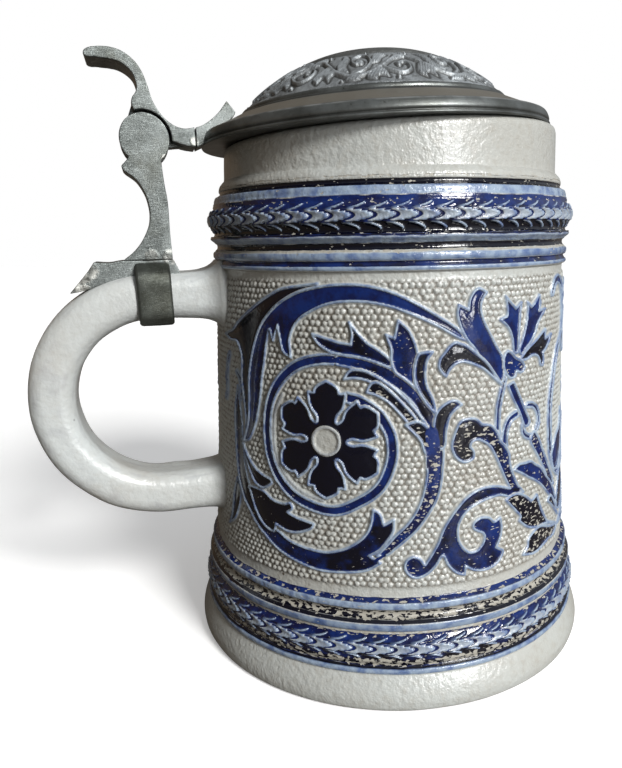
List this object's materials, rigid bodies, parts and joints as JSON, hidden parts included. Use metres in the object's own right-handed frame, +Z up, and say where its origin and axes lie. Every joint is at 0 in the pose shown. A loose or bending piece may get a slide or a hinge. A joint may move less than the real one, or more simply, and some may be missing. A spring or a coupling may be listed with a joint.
{
  "type": "beer stein",
  "caption": "Half-litre salt-glazed stoneware beer stein with a cobalt relief panel, a loop handle and a domed pewter lid that opens on a thumblift hinge.",
  "frame": {"origin": "centre of the mug's flat base, on the plane it rests on", "axes": "+Z up along the mug's axis, -X towards the handle and the hinge, Y along the hinge pin"},
  "size_m": [0.1398, 0.1046, 0.1402],
  "materials": {
    "relief_stoneware": "salt glaze with cobalt",
    "plain_stoneware": "salt glaze",
    "cast_pewter": "dull cast pewter",
    "lid_pewter": "dark patinated pewter",
    "pin_steel": "drawn wire"
  },
  "bodies": {
    "mug": {"stoneware_body": "relief_stoneware", "handle": "plain_stoneware", "strap_tang": "cast_pewter", "handle_strap": "cast_pewter", "hinge_shank": "cast_pewter", "hinge_pin": "pin_steel", "hinge_cap_front": "cast_pewter", "hinge_cap_rear": "cast_pewter"},
    "lid": {"thumb_lever": "cast_pewter", "lid_tongue": "cast_pewter", "lid_ring": "lid_pewter", "lid_dome": "lid_pewter"}
  },
  "joints": [
    {"name": "lid_hinge", "type": "hinge", "parent": "mug", "child": "lid", "pos_m": [-0.0564, 0, 0.1206], "axis": [0, -1, 0], "range_deg": [0, 115]}
  ]
}
